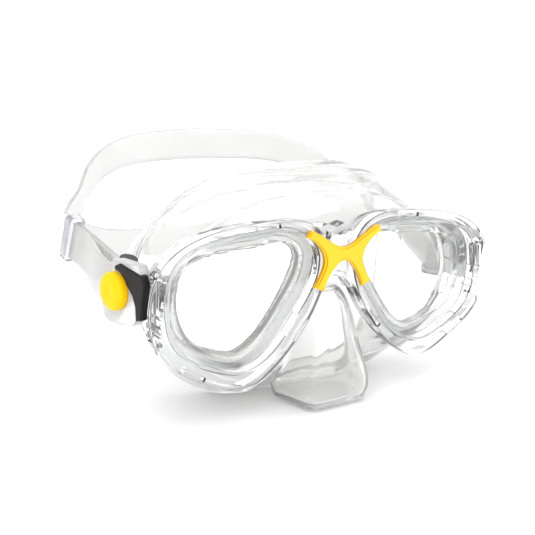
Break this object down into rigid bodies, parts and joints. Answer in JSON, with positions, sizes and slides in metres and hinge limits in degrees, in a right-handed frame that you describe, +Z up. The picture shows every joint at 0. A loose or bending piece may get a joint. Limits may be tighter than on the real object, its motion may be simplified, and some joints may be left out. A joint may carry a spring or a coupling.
{
  "type": "snorkel mask",
  "caption": "Diving and snorkelling mask with a clear frame, glass windows, soft clear skirt with nose pocket, push-button strap buckles and a split head strap",
  "frame": {"origin": "middle of the face seal, on the centre line, 42 mm behind the front of the lens frame", "axes": "+X to the wearer's left, +Y back towards the wearer's head, +Z up"},
  "size_m": [0.1746, 0.124, 0.0997],
  "materials": {
    "skirt_silicone": "clear silicone, satin",
    "strap_silicone": "clear silicone, satin, fine ribs",
    "clear_frame": "clear polycarbonate, polished",
    "clear_bezel": "clear polycarbonate, polished",
    "lens_glass": "tempered glass, polished",
    "yellow_trim": "gloss",
    "yellow_button": "satin",
    "cover_plastic": "satin",
    "roller_plastic": "satin",
    "buckle_plastic": "clear, polished",
    "keeper_plastic": "clear, polished",
    "lever_plastic": "natural nylon",
    "pin_steel": "stainless, polished"
  },
  "bodies": {
    "mask": {"main_frame": "clear_frame", "face_skirt": "skirt_silicone", "bridge_trim": "yellow_trim", "left_lens_bezel": "clear_bezel", "left_lens": "lens_glass", "right_lens_bezel": "clear_bezel", "right_lens": "lens_glass"},
    "strap": {"head_strap": "strap_silicone", "left_buckle_body": "buckle_plastic", "left_buckle_cover": "cover_plastic", "left_lever_pin": "pin_steel", "left_button_spring": "pin_steel", "left_swivel_pin": "pin_steel", "right_buckle_body": "buckle_plastic", "right_buckle_cover": "cover_plastic", "right_lever_pin": "pin_steel", "right_button_spring": "pin_steel", "right_swivel_pin": "pin_steel"},
    "left_button": {"left_push_button": "yellow_button"},
    "left_lever": {"left_strap_lever": "lever_plastic"},
    "left_roller": {"left_strap_roller": "roller_plastic", "left_roller_cap": "roller_plastic"},
    "left_keeper": {"left_strap_keeper": "keeper_plastic"},
    "right_button": {"right_push_button": "yellow_button"},
    "right_lever": {"right_strap_lever": "lever_plastic"},
    "right_roller": {"right_strap_roller": "roller_plastic", "right_roller_cap": "roller_plastic"},
    "right_keeper": {"right_strap_keeper": "keeper_plastic"}
  },
  "joints": [
    {"name": "strap_swing", "type": "hinge", "parent": "mask", "child": "strap", "pos_m": [0, -0.0265, 0.0049], "axis": [1, 0, 0], "range_deg": [-38, 38]},
    {"name": "left_button_press", "type": "slide", "parent": "strap", "child": "left_button", "axis": [-0.9799, 0.1994, 0], "range_m": [0, 0.0008], "stiffness_N_per_m": 500, "springref_m": -0.001, "deforming": ["left_button_spring"]},
    {"name": "left_lever_tilt", "type": "hinge", "parent": "strap", "child": "left_lever", "pos_m": [0.0804, -0.02204, 0.00619], "axis": [0.0346, 0.1702, -0.9848], "range_deg": [0, 14.5]},
    {"name": "left_roller_turn", "type": "hinge", "parent": "strap", "child": "left_roller", "pos_m": [0.07671, -0.01262, 0.00119], "axis": [-0.0646, -0.3174, 0.9461], "continuous": true},
    {"name": "left_keeper_slide", "type": "slide", "parent": "strap", "child": "left_keeper", "axis": [0.1886, 0.9271, 0.3239], "range_m": [-0.005, 0]},
    {"name": "right_button_press", "type": "slide", "parent": "strap", "child": "right_button", "axis": [0.9799, 0.1994, 0], "range_m": [0, 0.0008], "stiffness_N_per_m": 500, "springref_m": -0.001, "deforming": ["right_button_spring"]},
    {"name": "right_lever_tilt", "type": "hinge", "parent": "strap", "child": "right_lever", "pos_m": [-0.0804, -0.02204, 0.00619], "axis": [0.0346, -0.1702, 0.9848], "range_deg": [0, 14.5]},
    {"name": "right_roller_turn", "type": "hinge", "parent": "strap", "child": "right_roller", "pos_m": [-0.07671, -0.01262, 0.00119], "axis": [0.0646, -0.3174, 0.9461], "continuous": true},
    {"name": "right_keeper_slide", "type": "slide", "parent": "strap", "child": "right_keeper", "axis": [-0.1886, 0.9271, 0.3239], "range_m": [-0.005, 0]}
  ],
  "couplings": [
    {"joint": "left_lever_tilt", "follows": "left_button_press", "rad_per_m": 315},
    {"joint": "right_lever_tilt", "follows": "right_button_press", "rad_per_m": 315}
  ]
}
